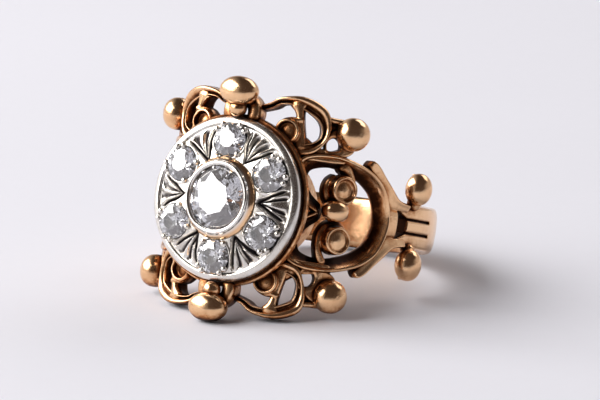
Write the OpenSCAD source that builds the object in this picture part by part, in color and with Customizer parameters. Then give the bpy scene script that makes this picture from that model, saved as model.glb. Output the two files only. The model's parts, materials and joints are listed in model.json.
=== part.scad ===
// Openwork cluster ring, lying on its side with the stone head tilted a little upwards.
//
// Ring axes used by every module: X to the right shoulder, -Y out through the stone head,
// Z along the finger hole. rest_pose() then tips the ring back until the lower scrolls and
// the back of the shank both touch the ground.
//
// The pierced shoulders lie on one curved sheet, the dome. A place on it has three numbers:
// s is measured along the sheet from where it starts to bend, z along the finger hole,
// and h is the height above the sheet.

/* [Finger hole and shank] */
// Diameter of the finger hole
finger_d = 17.4; // [16:0.1:19]
// Thickness of the shank, finger hole to outside
shank_t = 1.45; // [1.2:0.05:1.6]
// Width of the shank at the back
shank_back_w = 4.3; // [3.6:0.1:4.8]
// Width of the shank where the fork starts
shank_neck_w = 3.4; // [3:0.1:3.8]
// Width of the bar in the middle of the slot
bar_w = 1; // [0.8:0.05:1.1]
// Gap between the bar and the rails beside it
slot_gap = 0.12; // [0.08:0.02:0.2]

/* [Stone head] */
// Diameter of the white top plate
plate_d = 12.6; // [12:0.1:13]
// Distance from the finger hole's axis to the underside of the plate
plate_level = 13; // [12.6:0.1:13.4]
// Height of the plate's rim
rim_h = 0.9; // [0.7:0.05:1.1]
// How far the plate's middle rises above its rim
plate_rise = 0.35; // [0.2:0.05:0.6]
// Diameter of the collar under the plate
collar_d = 13.2; // [12.8:0.1:13.4]
// Diameter of the gallery where it meets the finger
gallery_foot_d = 9.2; // [8.6:0.1:9.6]
// Diameter of the centre collet at its lip
collet_d = 5.6; // [5.2:0.1:6]
// Height of the collet's lip above the rim
collet_rise = 1.3; // [1:0.1:1.6]

/* [Stones] */
// Girdle diameter of the centre stone
centre_stone_d = 4.9; // [4.5:0.1:5]
// Girdle diameter of the side stones
side_stone_d = 2.7; // [2.4:0.1:2.8]
// Number of side stones
side_stones = 6; // [6]
// Radius of the circle of side stones
stone_circle_r = 4.45; // [4.3:0.05:4.6]
// Diameter of the small grains that hold the side stones
grain_d = 0.5; // [0.4:0.05:0.6]

/* [Shoulder scrolls] */
// Thickness of the ribbon of the heart-shaped scroll
heart_w = 0.8; // [0.6:0.05:1]
// Depth of the ribbons, through the sheet
ribbon_depth = 1.6; // [1.2:0.1:2]
// Thickness of the ribbon of the corner scrolls
corner_w = 0.8; // [0.6:0.05:1]
// Radius of the cups that end the snail scrolls
snail_cup_r = 1.05; // [0.9:0.05:1.15]
// Radius of the coil around each snail scroll's cup
snail_coil_r = 1.35; // [1.25:0.05:1.4]
// Radius of the cups inside the corner scrolls
corner_cup_r = 0.85; // [0.7:0.05:0.95]

/* [Beads] */
// Length of the oval bead at each end of the head
end_bead_l = 3.2; // [2.8:0.1:3.4]
// Thickness of the oval bead at each end of the head
end_bead_t = 2.3; // [2:0.1:2.4]
// Diameter of the small bead beside the plate
small_bead_d = 1.4; // [1.2:0.1:1.6]
// Diameter of the corner beads
corner_bead_d = 2.6; // [2.2:0.1:2.7]
// Diameter of the bead in the middle of each shoulder
shoulder_bead_d = 1.9; // [1.6:0.1:2.1]
// Diameter of the knobs beside the shank's slot
knob_d = 2.3; // [2:0.1:2.4]

/* [Rest] */
// Tilt of the head above level when the ring lies on the ground
rest_tilt = 17; // [16:0.1:18]

/* [Hidden] */

gold = "#c39a68";
white_gold = "#d9d5cf";
stone = "#eef2f6";

finger_r = finger_d / 2;
shank_r = finger_r + shank_t;
plate_r = plate_d / 2;
rim_top = plate_level + rim_h;
plate_top = rim_top + plate_rise;
lip_top = rim_top + collet_rise;
collet_r = collet_d / 2;
stone_tilt = 5;         // side stones lean outwards by this angle
stone_plane = plate_top; // level of the side stones' girdles

// The dome: level on top, a tight bend, then a slow bend down to the side of the shank
dome_level = 12.3;
bend_r = 6;
bend_angle = 58;
side_angle = 90 - bend_angle;
side_r = (dome_level - bend_r * (1 - cos(bend_angle))) / sin(side_angle);
bend_start = shank_r - side_r * (1 - cos(side_angle)) - bend_r * sin(bend_angle);
bend_length = bend_r * bend_angle * PI / 180;
side_x = shank_r - side_r;

shank_start = 64;          // the shank's inner wall starts at this angle from the stone head
neck_level = 3.55;         // the slot's front end, measured towards the stone head
tongue_level = 2.3;        // where the middle bar starts
slot_back = -1.2;          // where the slot ends in the solid band
slot_w = 1.9;              // the slot's width at its front end
flare_level = -2;          // the shank widens from here to its back

// Heights of the ribbons' middles above the sheet, and the depths of the thinner ribbons
fork_depth = 1.4;
fork_h = 0.15 - fork_depth / 2;
heart_h = -0.4;
corner_depth = 1.3;
corner_h = -0.45;
stem_depth = 1.2;
stem_h = -0.4;
web_depth = 1.1;
web_h = -0.6;
curve_steps = 4;

snail_place = [6.3, 1.95, -0.9];     // s, z and h of each cup's base
snail_height = 1.5;
coil_place = [6.1, 1.8, -0.9];
coil_height = 1.1;
corner_cup_place = [1.3, 5.95, -1];
corner_cup_height = 1.4;
cup_wall = 0.22;                     // thickness of a cup's rim
cup_hollow = 0.3;                    // depth of a cup's hollow
eyelet_place = [4.7, 5.1, -1];
eyelet_height = 1.2;
eyelet_hole_r = 0.53;
eyelet_r = 1.05;
eyelet_shift = 0.25;                 // the upper eyelets sit this much farther down the shoulder
lug_r = 0.7;
knob_place = [14, 2.95, 0.3];
knob_foot = 1.2;
shoulder_bead_place = [5.75, 0.1, 0.15];
corner_bead_place = [6.5, 6.2, 0.2];
end_bead_level = 13.9;
end_bead_z = 8.25;
end_bead_h = 2.3;
small_bead_level = 13.7;
small_bead_z = 6.95;
bracket_r = 1.55;          // the pierced bracket that carries each end bead
bracket_t = 1.5;
bracket_hole_r = 0.55;
bracket_z = 6.75;
collar_level = plate_level - 0.65;
foot_level = finger_r + 0.3;
window_r = 2.4;            // the opening behind the centre stone
collet_seat_r = 3;
centre_stone_level = lip_top - 0.45;
// Around each side stone: a pair of grains at both outer corners, a single one at both inner corners
grain_angles = [34, 57, 123, 146, 231, 309];
grain_gap = 0.05;
grain_lift = 0.1;

// The ring's lowest and farthest points once it is tipped, worked out for the bead and the shank
bead_drop = end_bead_z * cos(rest_tilt) - end_bead_level * sin(rest_tilt)
    + norm([end_bead_h * sin(rest_tilt), end_bead_t * cos(rest_tilt)]) / 2;
shank_drop = shank_r * sin(rest_tilt) + shank_back_w / 2 * cos(rest_tilt);
rest_lift = max(bead_drop, shank_drop);
bead_reach = end_bead_level * cos(rest_tilt) + end_bead_z * sin(rest_tilt)
    + norm([end_bead_h * cos(rest_tilt), end_bead_t * sin(rest_tilt)]) / 2;
shank_reach = shank_r * cos(rest_tilt) + shank_back_w / 2 * sin(rest_tilt);
rest_shift = (bead_reach - shank_reach) / 2;

// Distance from the middle plane and from the finger axis at s, with height h above the sheet
function dome(s, h) =
    s < 0 ? [bend_start + s, dome_level + h]
    : s < bend_length
        ? let(a = s / bend_r * 180 / PI)
          [bend_start + (bend_r + h) * sin(a), dome_level - bend_r + (bend_r + h) * cos(a)]
        : let(a = bend_angle + (s - bend_length) / side_r * 180 / PI)
          [side_x + (side_r + h) * sin(a), (side_r + h) * cos(a)];

function dome_angle(s) =
    s < 0 ? 0
    : s < bend_length ? s / bend_r * 180 / PI
    : bend_angle + (s - bend_length) / side_r * 180 / PI;

function on_dome(s, z, h) = let(p = dome(s, h)) [p[0], -p[1], z];

// A smooth curve through points, with steps short pieces between each two
function curve(points, steps) =
    let(last = len(points) - 1)
    [for (i = [0:last - 1], k = [0:steps - 1])
        let(a = points[max(i - 1, 0)], b = points[i], c = points[i + 1], d = points[min(i + 2, last)],
            t = k / steps)
        0.5 * (2 * b + (c - a) * t + (2 * a - 5 * b + 4 * c - d) * t * t
            + (3 * b - a - 3 * c + d) * t * t * t),
     points[last]];

section_sides = 8;

// A ribbon with a rounded section along a path on the dome, open or closed into a loop.
// The path's points are [s, z, width].
module ribbon(path, depth, h, closed = false) {
    rings = len(path);
    turn = 360 / section_sides;
    points = [for (i = [0:rings - 1])
        let(a = path[closed ? (i + rings - 1) % rings : max(i - 1, 0)],
            b = path[closed ? (i + 1) % rings : min(i + 1, rings - 1)],
            d = [b[0] - a[0], b[1] - a[1]], side = [-d[1], d[0]] / norm(d))
        for (k = [0:section_sides - 1])
            let(across = path[i][2] / 2 * cos(turn * (k + 0.5)) / cos(turn / 2),
                up = depth / 2 * sin(turn * (k + 0.5)) / cos(turn / 2))
            on_dome(path[i][0] + side[0] * across, path[i][1] + side[1] * across, h + up)];
    walls = [for (i = [0:closed ? rings - 1 : rings - 2], k = [0:section_sides - 1])
        let(here = i * section_sides, there = (i + 1) % rings * section_sides, next = (k + 1) % section_sides)
        for (face = [[here + k, there + k, there + next], [here + k, there + next, here + next]]) face];
    ends = [[for (k = [0:section_sides - 1]) k],
            [for (k = [section_sides - 1:-1:0]) (rings - 1) * section_sides + k]];
    polyhedron(points, closed ? walls : concat(walls, ends), convexity = 8);
}

// Stands its children on the dome at a place [s, z, h], their +Z out of the sheet and their +Y
// along the finger hole
module stand(place) {
    translate(on_dome(place[0], place[1], place[2])) rotate([90, 0, dome_angle(place[0])]) children();
}

// Stands its children on the stone head, their +Z out of it and their +Y along the finger hole
module on_head(level = 0) {
    rotate([90, 0, 0]) translate([0, 0, level]) children();
}

// Lays the ring on the ground: tipped back, resting on the lower scrolls and the back of the shank
module rest_pose() {
    translate([0, rest_shift, rest_lift]) rotate([-rest_tilt, 0, 0]) children();
}

// side is 1 for the right shoulder and -1 for the left, end is 1 for the top and -1 for the bottom
module corner(side, end) {
    mirror([side < 0 ? 1 : 0, 0, 0]) mirror([0, 0, end < 0 ? 1 : 0]) children();
}

module oval(size) {
    scale(size) sphere(d = 1, $fn = 48);
}

// A turned angle about the finger axis, measured from the stone head, for rotate_extrude's start
function from_head(a) = a - 90;

// A flat outline pushed through the shank from side to side. Its points are [level, z] and
// level grows from the stone head to the back. Each point is drawn above and below the middle plane.
module through_shank(half_outline) {
    mirrored = [for (i = [len(half_outline) - 1:-1:0]) [half_outline[i][0], -half_outline[i][1]]];
    rotate([90, 0, 90]) linear_extrude(height = 2 * shank_r + 1, center = true)
        polygon(concat(half_outline, mirrored));
}

module shank() {
    slot_half = bar_w / 2 + slot_gap;
    color(gold) rest_pose() intersection() {
        difference() {
            rotate([0, 0, from_head(shank_start)])
                rotate_extrude(angle = 360 - 2 * shank_start, $fn = 96)
                    translate([finger_r, -shank_back_w / 2]) square([shank_t, shank_back_w]);
            difference() {
                through_shank([[-neck_level, slot_w / 2], [-tongue_level, slot_half], [-slot_back, slot_half]]);
                through_shank([[-tongue_level, bar_w / 2], [-slot_back + 1, bar_w / 2]]);
            }
        }
        through_shank([[-shank_r, shank_neck_w / 2], [-flare_level, shank_neck_w / 2],
                       [shank_r + 1, shank_back_w / 2]]);
    }
}

// The two arms that part at the neck and hug the heart-shaped scroll, with the bridge between them
module shoulder_fork(side) {
    arm = curve([[13.6, 1.3, 0.75], [12.3, 1.4, 0.95], [11.5, 1.75, 1.15], [10.85, 2.4, 1.05],
                 [10.1, 3.15, 0.85], [9.35, 3.9, 0.8], [8.85, 4.3, 0.6]], curve_steps);
    bridge = [[11.15, 0, 2.6], [12.35, 0, 2.6]];
    color(gold) rest_pose() corner(side, 1) {
        for (end = [-1, 1]) mirror([0, 0, end < 0 ? 1 : 0]) ribbon(arm, fork_depth, fork_h);
        ribbon(bridge, fork_depth, fork_h);
    }
}

// A small outward curl beside the slot
module shank_knob(side, end) {
    color(gold) rest_pose() corner(side, end) stand(knob_place) {
        oval(knob_d * [1, 1.12, 0.9]);
        translate([0.4, -1.1, -0.5]) oval(knob_foot * [1, 1, 1]);
    }
}

// The heart-shaped loop of each shoulder, its notch towards the stone head
module heart_scroll(side) {
    upper = [[4.75, 0.25, 0.9], [3.6, 1, 0.9], [2.85, 2.2, 1], [3.4, 3.45, 1.05], [5.3, 3.95, 1.05],
             [7.5, 3.6, 1.05], [9.1, 2.95, 1], [10.3, 1.9, 0.9], [10.95, 0, 0.8]];
    lower = [for (i = [len(upper) - 2:-1:0]) [upper[i][0], -upper[i][1], upper[i][2]]];
    loop = [for (p = curve(concat(upper, lower), curve_steps)) [p[0], p[1], p[2] * heart_w]];
    color(gold) rest_pose() corner(side, 1) ribbon(loop, ribbon_depth, heart_h, closed = true);
}

// A short curled stem inside the heart that ends in a cup with a coil around its foot. The upper stem
// leaves the heart further down the shoulder than the lower one.
module snail_scroll(side, end) {
    stem = end > 0 ? [[6.6, 3.75, 1.2], [6.9, 3.1, 0.9], [7.35, 2.4, 0.45]]
        : [[5.5, 3.75, 0.9], [5.2, 3.1, 0.6], [5.1, 2.3, 0.45]];
    color(gold) rest_pose() corner(side, end) {
        ribbon(curve(stem, curve_steps), stem_depth, stem_h);
        stand(snail_place) cup(snail_cup_r, snail_height);
        stand(coil_place) rotate_extrude($fn = 48)
            polygon([[0, 0], [snail_coil_r - 0.2, 0], [snail_coil_r, 0.2], [snail_coil_r, coil_height - 0.3],
                     [snail_coil_r - 0.3, coil_height], [0, coil_height]]);
    }
}

// A round stub with a raised rim and a hollow top
module cup(r, height) {
    rotate_extrude($fn = 48)
        polygon([[0, 0], [r * 0.8, 0], [r, height * 0.35], [r, height - 0.12], [r - 0.1, height],
                 [r - cup_wall, height], [r - cup_wall - 0.15, height - cup_hollow],
                 [0, height - cup_hollow - 0.08]]);
}

module shoulder_bead(side) {
    color(gold) rest_pose() corner(side, 1) stand(shoulder_bead_place)
        oval(shoulder_bead_d * [1.1, 0.85, 0.9]);
}

// A three-quarter loop at each corner of the head, thin where it meets the end bead
module corner_scroll(side, end) {
    path = curve([[-1.4, 7.2, 0.6], [-0.3, 7.5, 0.75], [0.4, 7.85, 0.85], [1.3, 8.02, 0.95], [2.1, 8.03, 0.95],
                  [3, 7.8, 0.9], [3.85, 7.3, 0.95], [4.3, 6.3, 1], [4.1, 5.3, 0.8], [3.4, 4.72, 0.75],
                  [2.5, 4.5, 0.75], [2, 4.55, 0.6]], curve_steps);
    color(gold) rest_pose() corner(side, end)
        ribbon([for (p = path) [p[0], p[1], p[2] * corner_w]], corner_depth, corner_h);
}

// The stem that crosses each corner loop, and the cup that it curls around
module corner_tendril(side, end) {
    stem = curve([[1.9, 7.9, 1], [2.15, 7.1, 0.65], [2.4, 6.1, 0.75], [2.5, 5.2, 0.95], [2.4, 4.6, 1]],
                 curve_steps);
    color(gold) rest_pose() corner(side, end) {
        ribbon(stem, stem_depth, stem_h);
        stand(corner_cup_place) cup(corner_cup_r, corner_cup_height);
        ribbon([[1.5, 5.3, 0.9], [2.4, 4.8, 0.9]], web_depth, web_h);
    }
}

// The small plate with a round hole between corner loop, heart and corner bead, and the web behind it
module corner_eyelet(side, end) {
    place = eyelet_place + [end * eyelet_shift, 0, 0];
    web = curve([[place[0] - 0.75, 4.7, 0.9], [place[0] - 1.4, 4.3, 0.9], [2.2, 3.9, 1]], curve_steps);
    color(gold) rest_pose() corner(side, end) {
        stand(place) difference() {
            union() {
                cylinder(r = eyelet_r, h = eyelet_height, $fn = 48);
                translate([0.8, 0.6, 0.1]) cylinder(r = lug_r, h = eyelet_height - 0.2, $fn = 32);
            }
            translate([0, 0, -1]) cylinder(r = eyelet_hole_r, h = eyelet_height + 2, $fn = 32);
        }
        ribbon(web, web_depth, web_h);
    }
}

module corner_bead(side, end) {
    color(gold) rest_pose() corner(side, end) stand(corner_bead_place)
        oval(corner_bead_d * [1, 1, 0.95]);
}

// The oval bead at the top and the bottom of the head
module end_bead(end) {
    color(gold) rest_pose() corner(1, end) translate([0, -end_bead_level, end_bead_z])
        oval([end_bead_l, end_bead_h, end_bead_t]);
}

// A half-round bracket with a hole, between the gallery's collar and the end bead
module end_bracket(end) {
    color(gold) rest_pose() corner(1, end) difference() {
        on_head(dome_level - 0.5) translate([0, bracket_z, 0]) cylinder(r = bracket_r, h = bracket_t, $fn = 48);
        on_head(dome_level - 1) translate([0, bracket_z, 0])
            cylinder(r = bracket_hole_r, h = bracket_t + 1, $fn = 32);
        on_head(dome_level - 1) cylinder(r = plate_r, h = bracket_t + 1, $fn = 96);
    }
}

module small_bead(end) {
    color(gold) rest_pose() corner(1, end) translate([0, -small_bead_level, small_bead_z]) oval(small_bead_d * [1, 1, 1]);
}

// The tapered ring under the plate: collar, wall and a foot that follows the finger hole, with a window
module gallery() {
    collar_r = collar_d / 2;
    foot_r = gallery_foot_d / 2;
    color(gold) rest_pose() difference() {
        on_head() rotate_extrude($fn = 96)
            polygon([[window_r, foot_level - 1.8], [foot_r, foot_level - 1.8], [foot_r + 0.1, foot_level],
                     [collar_r - 0.7, collar_level - 0.3], [collar_r - 0.15, collar_level],
                     [collar_r, collar_level + 0.2], [collar_r, plate_level - 0.1], [collar_r - 0.1, plate_level],
                     [collar_r - 1.2, plate_level], [collar_r - 1.4, collar_level - 0.2],
                     [foot_r - 0.6, foot_level + 0.5], [window_r, foot_level + 0.5]]);
        cylinder(r = finger_r, h = 3 * finger_r, center = true, $fn = 96);
    }
}

// The white plate with its raised rim, bored for the collet and the side stones
module head_plate() {
    color(white_gold) rest_pose() on_head() difference() {
        rotate_extrude($fn = 96)
            polygon([[collet_seat_r, plate_level], [plate_r - 0.05, plate_level], [plate_r, plate_level + 0.05],
                     [plate_r, rim_top - 0.12], [plate_r - 0.12, rim_top], [plate_r - 0.35, rim_top],
                     [plate_r - 0.55, rim_top - 0.15], [plate_r - 0.9, rim_top - 0.08],
                     [stone_circle_r, plate_top], [collet_seat_r, plate_top + 0.15]]);
        for (i = [0:side_stones - 1]) side_stone_place(i) brilliant(side_stone_d + 0.02, true);
    }
}

// The raised setting of the centre stone
module centre_collet() {
    color(white_gold) rest_pose() on_head() difference() {
        rotate_extrude($fn = 96)
            polygon([[collet_seat_r - 0.8, plate_level - 0.6], [collet_seat_r, plate_level - 0.6],
                     [collet_seat_r, plate_top + 0.15], [collet_seat_r + 0.2, plate_top + 0.2],
                     [collet_r, lip_top - 0.12], [collet_r - 0.1, lip_top], [collet_r - 0.25, lip_top],
                     [collet_r - 0.5, lip_top - 0.14], [collet_r - 0.5, lip_top - 0.3]]);
        translate([0, 0, centre_stone_level]) brilliant(centre_stone_d + 0.02, true);
    }
}

// A round cut stone: crown, thin girdle and cone below. Open above when it is used as a cutter.
module brilliant(d, cutter = false) {
    table_r = d * 0.29;
    crown = d * 0.15;
    girdle = d * 0.03;
    pavilion = d * 0.43;
    rotate_extrude($fn = 64)
        polygon([[0, -pavilion], [d / 2, 0], [d / 2, girdle],
                 [cutter ? d / 2 - 0.1 : table_r, girdle + crown], [0, girdle + crown]]);
}

module side_stone_place(i) {
    rotate([0, 0, i * 360 / side_stones]) translate([0, stone_circle_r, stone_plane]) rotate([-stone_tilt, 0, 0])
        children();
}

module side_diamond(i) {
    color(stone) rest_pose() on_head() side_stone_place(i) brilliant(side_stone_d);
}

module centre_diamond() {
    color(stone) rest_pose() on_head(centre_stone_level) brilliant(centre_stone_d);
}

// The grains raised from the plate that hold the side stones
module setting_grains() {
    color(white_gold) rest_pose() on_head() for (i = [0:side_stones - 1], a = grain_angles)
        side_stone_place(i) rotate([0, 0, a]) translate([side_stone_d / 2 + grain_gap, 0, grain_lift])
            sphere(d = grain_d, $fn = 24);
}

// One module for each piece that repeats
module shoulder_fork_right() { shoulder_fork(1); }
module shoulder_fork_left() { shoulder_fork(-1); }
module shank_knob_top_right() { shank_knob(1, 1); }
module shank_knob_top_left() { shank_knob(-1, 1); }
module shank_knob_bottom_right() { shank_knob(1, -1); }
module shank_knob_bottom_left() { shank_knob(-1, -1); }
module heart_scroll_right() { heart_scroll(1); }
module heart_scroll_left() { heart_scroll(-1); }
module snail_scroll_top_right() { snail_scroll(1, 1); }
module snail_scroll_top_left() { snail_scroll(-1, 1); }
module snail_scroll_bottom_right() { snail_scroll(1, -1); }
module snail_scroll_bottom_left() { snail_scroll(-1, -1); }
module shoulder_bead_right() { shoulder_bead(1); }
module shoulder_bead_left() { shoulder_bead(-1); }
module corner_scroll_top_right() { corner_scroll(1, 1); }
module corner_scroll_top_left() { corner_scroll(-1, 1); }
module corner_scroll_bottom_right() { corner_scroll(1, -1); }
module corner_scroll_bottom_left() { corner_scroll(-1, -1); }
module corner_tendril_top_right() { corner_tendril(1, 1); }
module corner_tendril_top_left() { corner_tendril(-1, 1); }
module corner_tendril_bottom_right() { corner_tendril(1, -1); }
module corner_tendril_bottom_left() { corner_tendril(-1, -1); }
module corner_eyelet_top_right() { corner_eyelet(1, 1); }
module corner_eyelet_top_left() { corner_eyelet(-1, 1); }
module corner_eyelet_bottom_right() { corner_eyelet(1, -1); }
module corner_eyelet_bottom_left() { corner_eyelet(-1, -1); }
module corner_bead_top_right() { corner_bead(1, 1); }
module corner_bead_top_left() { corner_bead(-1, 1); }
module corner_bead_bottom_right() { corner_bead(1, -1); }
module corner_bead_bottom_left() { corner_bead(-1, -1); }
module end_bead_top() { end_bead(1); }
module end_bead_bottom() { end_bead(-1); }
module end_bracket_top() { end_bracket(1); }
module end_bracket_bottom() { end_bracket(-1); }
module small_bead_top() { small_bead(1); }
module small_bead_bottom() { small_bead(-1); }
module side_diamond_1() { side_diamond(0); }
module side_diamond_2() { side_diamond(1); }
module side_diamond_3() { side_diamond(2); }
module side_diamond_4() { side_diamond(3); }
module side_diamond_5() { side_diamond(4); }
module side_diamond_6() { side_diamond(5); }

shank();
shoulder_fork_right();
shoulder_fork_left();
shank_knob_top_right();
shank_knob_top_left();
shank_knob_bottom_right();
shank_knob_bottom_left();
heart_scroll_right();
heart_scroll_left();
snail_scroll_top_right();
snail_scroll_top_left();
snail_scroll_bottom_right();
snail_scroll_bottom_left();
shoulder_bead_right();
shoulder_bead_left();
corner_scroll_top_right();
corner_scroll_top_left();
corner_scroll_bottom_right();
corner_scroll_bottom_left();
corner_tendril_top_right();
corner_tendril_top_left();
corner_tendril_bottom_right();
corner_tendril_bottom_left();
corner_eyelet_top_right();
corner_eyelet_top_left();
corner_eyelet_bottom_right();
corner_eyelet_bottom_left();
corner_bead_top_right();
corner_bead_top_left();
corner_bead_bottom_right();
corner_bead_bottom_left();
end_bead_top();
end_bead_bottom();
end_bracket_top();
end_bracket_bottom();
small_bead_top();
small_bead_bottom();
gallery();
head_plate();
centre_collet();
setting_grains();
centre_diamond();
side_diamond_1();
side_diamond_2();
side_diamond_3();
side_diamond_4();
side_diamond_5();
side_diamond_6();
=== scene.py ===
"""An openwork gold cluster ring with a white head of clear stones, lying on its side on a pale table."""
import json
import math
import random

import bmesh
import bpy
from bpy.props import FloatProperty, FloatVectorProperty, IntProperty, PointerProperty
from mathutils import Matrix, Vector


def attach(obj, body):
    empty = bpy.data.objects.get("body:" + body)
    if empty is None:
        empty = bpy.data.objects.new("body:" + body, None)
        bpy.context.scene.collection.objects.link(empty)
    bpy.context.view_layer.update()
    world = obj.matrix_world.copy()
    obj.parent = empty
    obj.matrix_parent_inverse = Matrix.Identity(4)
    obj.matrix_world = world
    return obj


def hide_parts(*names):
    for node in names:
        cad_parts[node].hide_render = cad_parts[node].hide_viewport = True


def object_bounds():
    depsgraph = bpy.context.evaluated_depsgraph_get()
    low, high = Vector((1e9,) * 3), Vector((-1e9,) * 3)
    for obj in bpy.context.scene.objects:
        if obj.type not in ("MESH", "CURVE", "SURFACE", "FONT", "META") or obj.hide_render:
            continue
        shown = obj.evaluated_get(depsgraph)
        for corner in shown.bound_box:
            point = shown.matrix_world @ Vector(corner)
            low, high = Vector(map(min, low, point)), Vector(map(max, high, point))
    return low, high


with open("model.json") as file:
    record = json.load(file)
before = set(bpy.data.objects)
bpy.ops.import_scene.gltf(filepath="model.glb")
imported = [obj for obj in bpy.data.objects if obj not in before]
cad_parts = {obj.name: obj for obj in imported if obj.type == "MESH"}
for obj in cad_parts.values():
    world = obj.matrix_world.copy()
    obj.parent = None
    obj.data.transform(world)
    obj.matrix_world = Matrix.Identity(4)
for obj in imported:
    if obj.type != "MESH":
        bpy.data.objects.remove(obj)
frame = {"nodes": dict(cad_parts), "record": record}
CAD_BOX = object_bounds()

bl_info = {
    "name": "Openwork cluster ring",
    "version": (1, 0, 0),
    "blender": (4, 5, 0),
    "location": "3D View > Sidebar > Ring",
    "description": "Builds a gold cluster ring, its stones and its stage around the ring's frame",
    "category": "Add Mesh",
}

# ---------------------------------------------------------------- where the ring lies

MM = 0.001
HOLE = frame["record"]["mounts"][0]
HOLE_CENTRE = Vector(HOLE["pos_m"])
FINGER_R = HOLE["dims"]["r_mm"]
ALONG = Vector(HOLE["axis"]).normalized()
OUT = Vector((0, -ALONG.z, ALONG.y))
ACROSS = Vector((1, 0, 0))

# The ring's own levels in millimetres. "Out" is measured from the finger hole's axis through the head.
SHANK_THICK = 1.45
SHANK_R = FINGER_R + SHANK_THICK
PLATE_LEVEL = 13.0
RIM_TOP = 13.9
PLATE_TOP = 14.25
LIP_TOP = 15.2
PLATE_R = 6.3
COLLET_SEAT_R = 3.0
SIDE_STONES = 6
STONE_CIRCLE_R = 4.45
STONE_SEAT_R = 1.37
STONE_TILT = math.radians(5)
SIDES = (("right", 1), ("left", -1))
ENDS = (("top", 1), ("bottom", -1))
CORNERS = [(f"{end_name}_{side_name}", side, end) for end_name, end in ENDS for side_name, side in SIDES]
TABLE_HALF = 0.6


def lay(point):
    """World place of a point given in millimetres as (across, out, along the finger hole)."""
    return HOLE_CENTRE + (ACROSS * point[0] + OUT * point[1] + ALONG * point[2]) * MM


# ---------------------------------------------------------------- the dome of the pierced shoulders

DOME_LEVEL = 12.3
BEND_R = 6.0
BEND = math.radians(58)
SIDE_TURN = math.pi / 2 - BEND
SIDE_R = (DOME_LEVEL - BEND_R * (1 - math.cos(BEND))) / math.sin(SIDE_TURN)
BEND_START = SHANK_R - SIDE_R * (1 - math.cos(SIDE_TURN)) - BEND_R * math.sin(BEND)
BEND_LENGTH = BEND_R * BEND


def dome_angle(s):
    """How far the sheet has turned at s, in radians."""
    if s < 0:
        return 0.0
    if s < BEND_LENGTH:
        return s / BEND_R
    return BEND + (s - BEND_LENGTH) / SIDE_R


def on_dome(s, z, h):
    """A point at s along the sheet, z along the finger hole and h above the sheet."""
    turn = dome_angle(s)
    if s < 0:
        return (BEND_START + s, DOME_LEVEL + h, z)
    if s < BEND_LENGTH:
        radius = BEND_R + h
        return (BEND_START + radius * math.sin(turn), DOME_LEVEL - BEND_R + radius * math.cos(turn), z)
    radius = SIDE_R + h
    return (SHANK_R - SIDE_R + radius * math.sin(turn), radius * math.cos(turn), z)


def sunk(shape):
    """How dark its depth paints each point, as oxide and painted shade: 0 on crests, 1 in the openwork,
    little where a finger rubs.
    """
    depths = []
    for x, out, along in shape.points:
        x = abs(x)
        bend_turn = math.atan2(x - BEND_START, out - DOME_LEVEL + BEND_R)
        if x < BEND_START:
            height = out - DOME_LEVEL
        elif bend_turn < BEND:
            height = math.hypot(x - BEND_START, out - DOME_LEVEL + BEND_R) - BEND_R
        else:
            height = math.hypot(x - SHANK_R + SIDE_R, out) - SIDE_R
        depths.append(smoothstep(0.04, 0.75, -height) * (1 - 0.8 * smoothstep(1.0, 1.25, -height)))
    return depths


def smoothstep(low, high, value):
    t = min(max((value - low) / (high - low), 0), 1)
    return t * t * (3 - 2 * t)


# ---------------------------------------------------------------- shapes

class Shape:
    """Points in millimetres in the ring's own axes, and the faces between them."""

    def __init__(self, points=(), faces=()):
        self.points = [tuple(p) for p in points]
        self.faces = [tuple(f) for f in faces]

    def add(self, other):
        start = len(self.points)
        self.points += other.points
        self.faces += [tuple(i + start for i in face) for face in other.faces]
        return self

    def moved(self, rule):
        """The same shape with every point put where the rule says."""
        return Shape([rule(*p) for p in self.points], self.faces)

    def mirrored(self, side, end):
        return self.moved(lambda x, out, along: (x * side, out, along * end))


def loft(rings, closed=False):
    """A skin over rings of points. Its ends are capped, or joined where it is closed."""
    count = len(rings[0])
    shape = Shape([p for ring in rings for p in ring])
    for i in range(len(rings) if closed else len(rings) - 1):
        here, there = i * count, (i + 1) % len(rings) * count
        for k in range(count):
            after = (k + 1) % count
            shape.faces.append((here + k, here + after, there + after, there + k))
    if not closed:
        for start in (0, (len(rings) - 1) * count):
            end = shape.points[start:start + count]
            shape.points.append(tuple(sum(p[axis] for p in end) / count for axis in range(3)))
            for k in range(count):
                shape.faces.append((start + k, start + (k + 1) % count, len(shape.points) - 1))
    return shape


def smooth_curve(points, steps, closed=False):
    """A smooth curve through points of any dimension."""
    last = len(points) - 1
    result = []
    for i in range(last + 1 if closed else last):
        if closed:
            a, b, c, d = (points[(i + k) % (last + 1)] for k in (-1, 0, 1, 2))
        else:
            a, b, c, d = points[max(i - 1, 0)], points[i], points[i + 1], points[min(i + 2, last)]
        for k in range(steps):
            t = k / steps
            result.append(tuple(
                0.5 * (2 * q + (r - p) * t + (2 * p - 5 * q + 4 * r - w) * t ** 2
                       + (3 * q - p - 3 * r + w) * t ** 3)
                for p, q, r, w in zip(a, b, c, d)))
    if not closed:
        result.append(tuple(points[-1]))
    return result


def section(outline, depth):
    """A ribbon's cross-section from points of (across in half widths, height above the sheet)."""
    closed = list(outline) + [(-0.85, -depth), (0.85, -depth)]
    return smooth_curve(closed, 3, closed=True)


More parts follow.
